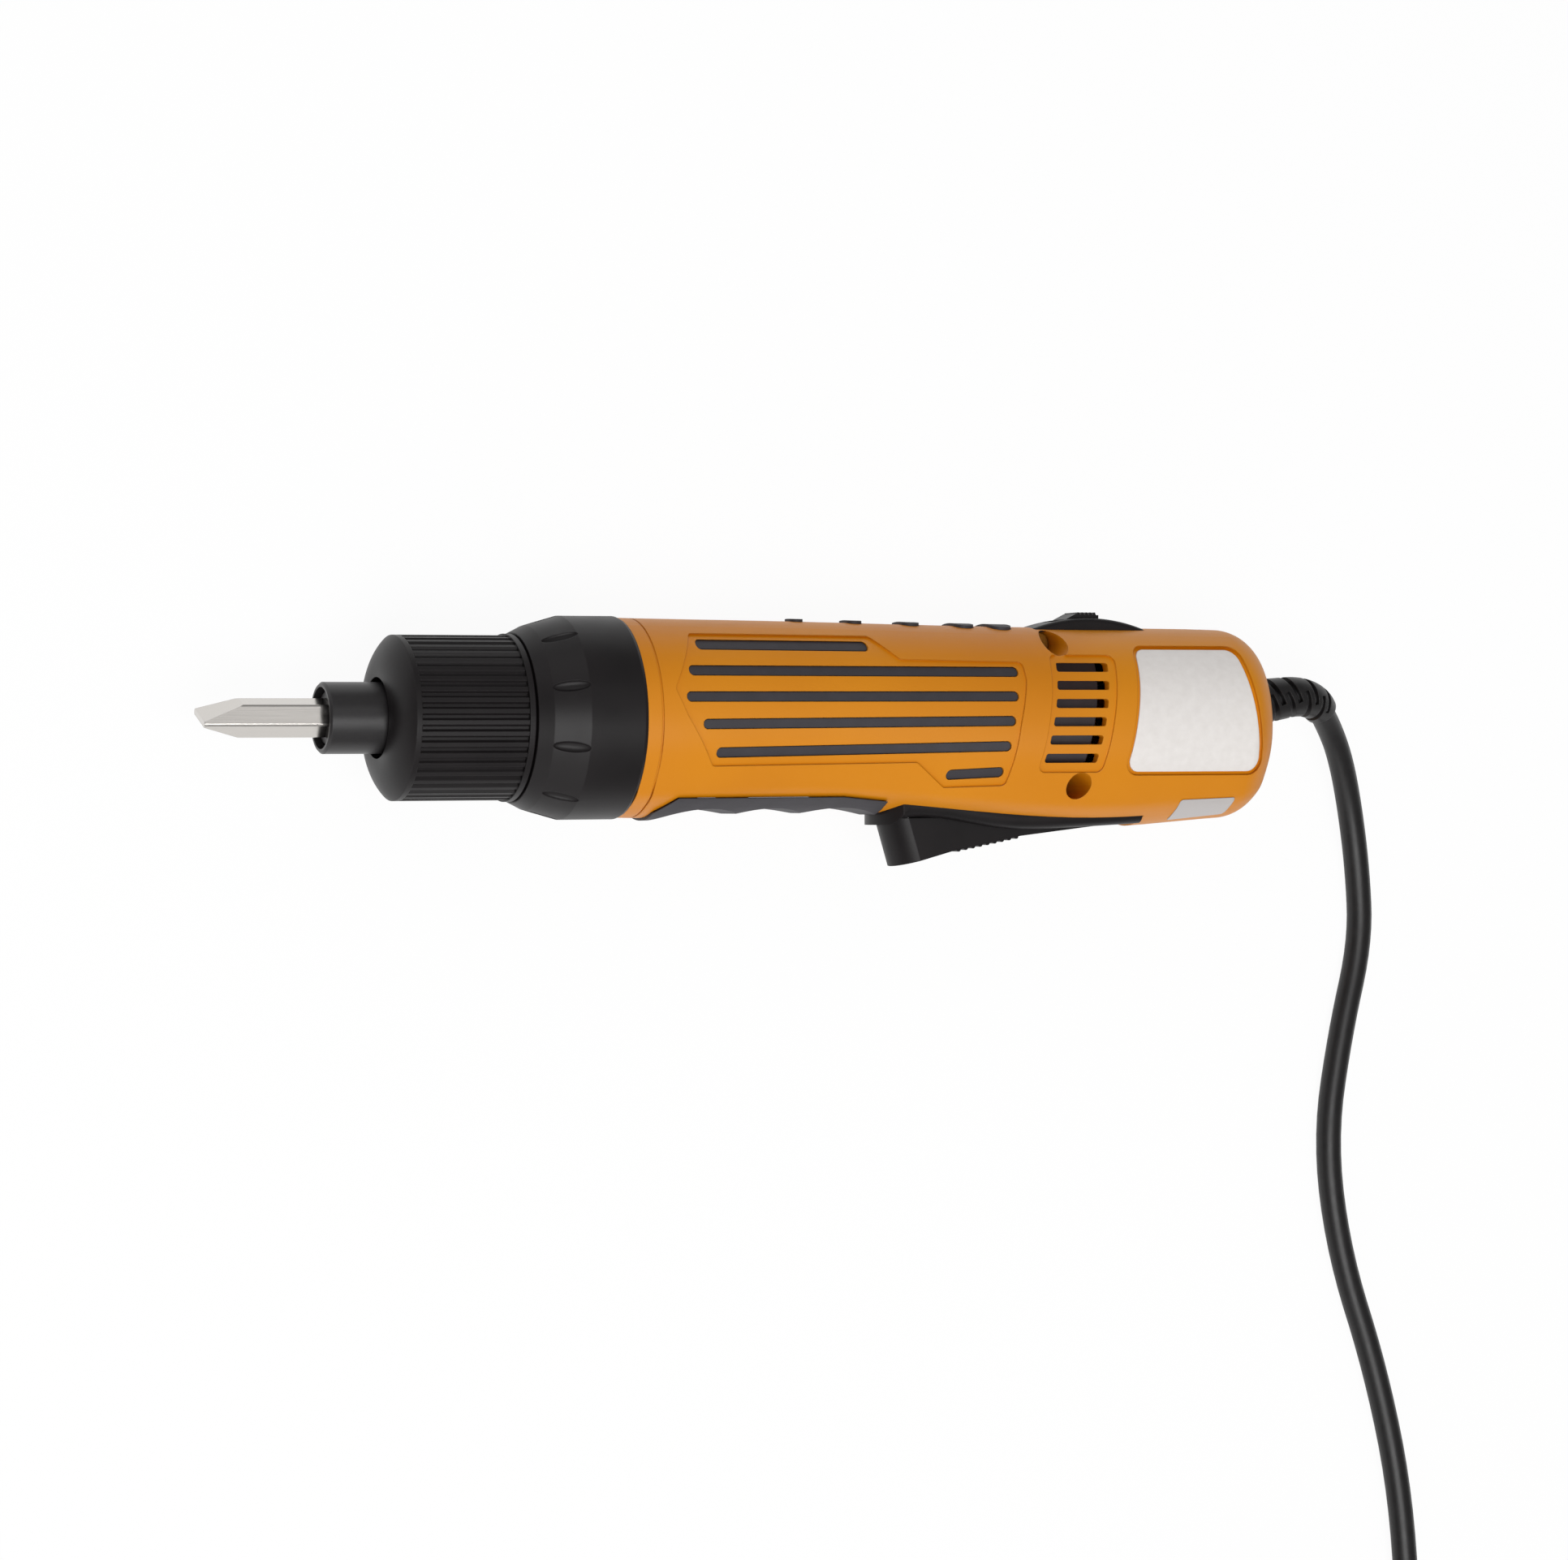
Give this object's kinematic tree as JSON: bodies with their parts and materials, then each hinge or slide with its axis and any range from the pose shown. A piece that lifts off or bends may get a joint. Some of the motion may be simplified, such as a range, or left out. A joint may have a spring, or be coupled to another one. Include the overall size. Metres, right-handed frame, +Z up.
{
  "type": "electric screwdriver",
  "caption": "Inline corded electric screwdriver with start lever, direction slider, torque knob, quick-change bit sleeve and planetary gearing.",
  "frame": {"origin": "middle of the tool's outline without its cord, at the height of the floor that it lies on", "axes": "+X along the tool from the bit's tip to the cord's exit, +Y towards the direction slider, +Z up"},
  "size_m": [0.2557, 0.2824, 0.0374],
  "materials": {
    "orange_plastic": "satin",
    "black_plastic": "matt",
    "black_steel": "satin",
    "dark_rubber": "matt",
    "cord_rubber": "satin",
    "label_paper": "matt",
    "steel": "satin",
    "bright_steel": "polished",
    "zinc_steel": "satin",
    "bronze": "satin",
    "copper": "satin",
    "magnet": "matt",
    "circuit_board": "satin"
  },
  "bodies": {
    "housing": {"left_handle_half": "orange_plastic", "right_handle_half": "orange_plastic", "rubber_inlays": "dark_rubber", "finger_grip": "dark_rubber", "labels": "label_paper", "handle_screws": "zinc_steel", "lever_bezel": "black_plastic", "lever_pin": "steel", "lever_spring": "bright_steel", "start_switch": "black_plastic", "direction_switch_base": "black_plastic", "direction_switch": "black_plastic", "knob_keeper_ring": "steel", "front_collar": "black_plastic", "front_bush": "bronze", "ring_gear": "steel", "motor_can": "zinc_steel", "motor_magnets": "magnet", "motor_brushes": "magnet", "motor_end_cap": "black_plastic", "motor_bearings": "bronze", "control_board": "circuit_board", "cord_clamp": "black_plastic", "inner_leads": "cord_rubber", "strain_relief": "cord_rubber", "cord_lead": "cord_rubber", "cord_coil": "cord_rubber", "cord_tie": "black_plastic", "plug_body": "cord_rubber", "plug_shell": "zinc_steel", "plug_pins": "bronze"},
    "rotor": {"rotor_shaft": "steel", "rotor_core": "steel", "rotor_winding": "copper", "commutator": "copper", "motor_pinion": "steel", "cooling_fan": "black_plastic"},
    "middle_stage": {"middle_carrier": "steel"},
    "spindle": {"spindle": "steel", "screwdriver_bit": "bright_steel", "detent_balls": "bright_steel", "sleeve_clip": "steel", "sleeve_spring": "bright_steel", "clutch_balls": "bright_steel", "output_carrier": "steel", "clutch_spring": "bright_steel"},
    "sleeve": {"quick_change_sleeve": "black_steel"},
    "clutch": {"clutch_plate": "steel"},
    "knob": {"torque_knob": "black_plastic"},
    "nut": {"pressure_nut": "steel", "spring_seat": "steel"},
    "lever": {"start_lever": "black_plastic"},
    "plunger": {"start_switch_plunger": "label_paper"},
    "slider": {"direction_slider": "black_plastic"},
    "input_planet_1": {"input_planet_1": "steel"},
    "input_planet_2": {"input_planet_2": "steel"},
    "input_planet_3": {"input_planet_3": "steel"},
    "output_planet_1": {"output_planet_1": "steel"},
    "output_planet_2": {"output_planet_2": "steel"},
    "output_planet_3": {"output_planet_3": "steel"}
  },
  "joints": [
    {"name": "rotor_spin", "type": "hinge", "parent": "housing", "child": "rotor", "pos_m": [0.00995, 0.004, 0.0187], "axis": [1, 0, 0], "continuous": true},
    {"name": "middle_stage_spin", "type": "hinge", "parent": "housing", "child": "middle_stage", "pos_m": [-0.02275, 0.004, 0.0187], "axis": [1, 0, 0], "continuous": true},
    {"name": "spindle_spin", "type": "hinge", "parent": "housing", "child": "spindle", "pos_m": [-0.05605, 0.004, 0.0187], "axis": [1, 0, 0], "continuous": true},
    {"name": "input_planet_1_spin", "type": "hinge", "parent": "middle_stage", "child": "input_planet_1", "pos_m": [-0.02025, 0.01225, 0.0187], "axis": [1, 0, 0], "continuous": true},
    {"name": "input_planet_2_spin", "type": "hinge", "parent": "middle_stage", "child": "input_planet_2", "pos_m": [-0.02025, -0.00013, 0.02584], "axis": [1, 0, 0], "continuous": true},
    {"name": "input_planet_3_spin", "type": "hinge", "parent": "middle_stage", "child": "input_planet_3", "pos_m": [-0.02025, -0.00013, 0.01156], "axis": [1, 0, 0], "continuous": true},
    {"name": "output_planet_1_spin", "type": "hinge", "parent": "spindle", "child": "output_planet_1", "pos_m": [-0.02925, 0.01225, 0.0187], "axis": [1, 0, 0], "continuous": true},
    {"name": "output_planet_2_spin", "type": "hinge", "parent": "spindle", "child": "output_planet_2", "pos_m": [-0.02925, -0.00013, 0.02584], "axis": [1, 0, 0], "continuous": true},
    {"name": "output_planet_3_spin", "type": "hinge", "parent": "spindle", "child": "output_planet_3", "pos_m": [-0.02925, -0.00013, 0.01156], "axis": [1, 0, 0], "continuous": true},
    {"name": "sleeve_slide", "type": "slide", "parent": "spindle", "child": "sleeve", "axis": [1, 0, 0], "range_m": [0, 0.003], "stiffness_N_per_m": 600, "springref_m": -0.003, "deforming": ["sleeve_spring"]},
    {"name": "clutch_lift", "type": "slide", "parent": "spindle", "child": "clutch", "axis": [-1, 0, 0], "range_m": [0, 0.0012], "stiffness_N_per_m": 3000, "springref_m": -0.002, "deforming": ["clutch_spring"]},
    {"name": "knob_turn", "type": "hinge", "parent": "housing", "child": "knob", "pos_m": [-0.07165, 0.004, 0.0187], "axis": [1, 0, 0], "range_deg": [0, 1080]},
    {"name": "nut_feed", "type": "slide", "parent": "housing", "child": "nut", "axis": [1, 0, 0], "range_m": [0, 0.00376], "deforming": ["clutch_spring"]},
    {"name": "lever_press", "type": "hinge", "parent": "housing", "child": "lever", "pos_m": [0.07495, -0.0132, 0.0187], "axis": [0, 0, -1], "range_deg": [0, 4.5], "stiffness_Nm_per_rad": 0.6, "springref_deg": -4.58, "deforming": ["lever_spring"]},
    {"name": "plunger_push", "type": "slide", "parent": "housing", "child": "plunger", "axis": [0, 1, 0], "range_m": [0, 0.0019]},
    {"name": "direction_slide", "type": "slide", "parent": "housing", "child": "slider", "axis": [1, 0, 0], "range_m": [-0.0023, 0.0023]}
  ],
  "couplings": [
    {"joint": "middle_stage_spin", "follows": "rotor_spin", "ratio": 0.22727},
    {"joint": "spindle_spin", "follows": "rotor_spin", "ratio": 0.051653},
    {"joint": "input_planet_1_spin", "follows": "rotor_spin", "ratio": -0.64394},
    {"joint": "input_planet_2_spin", "follows": "rotor_spin", "ratio": -0.64394},
    {"joint": "input_planet_3_spin", "follows": "rotor_spin", "ratio": -0.64394},
    {"joint": "output_planet_1_spin", "follows": "rotor_spin", "ratio": -0.14635},
    {"joint": "output_planet_2_spin", "follows": "rotor_spin", "ratio": -0.14635},
    {"joint": "output_planet_3_spin", "follows": "rotor_spin", "ratio": -0.14635},
    {"joint": "nut_feed", "follows": "knob_turn", "m_per_rad": 0.00019894},
    {"joint": "plunger_push", "follows": "lever_press", "m_per_rad": 0.024}
  ]
}
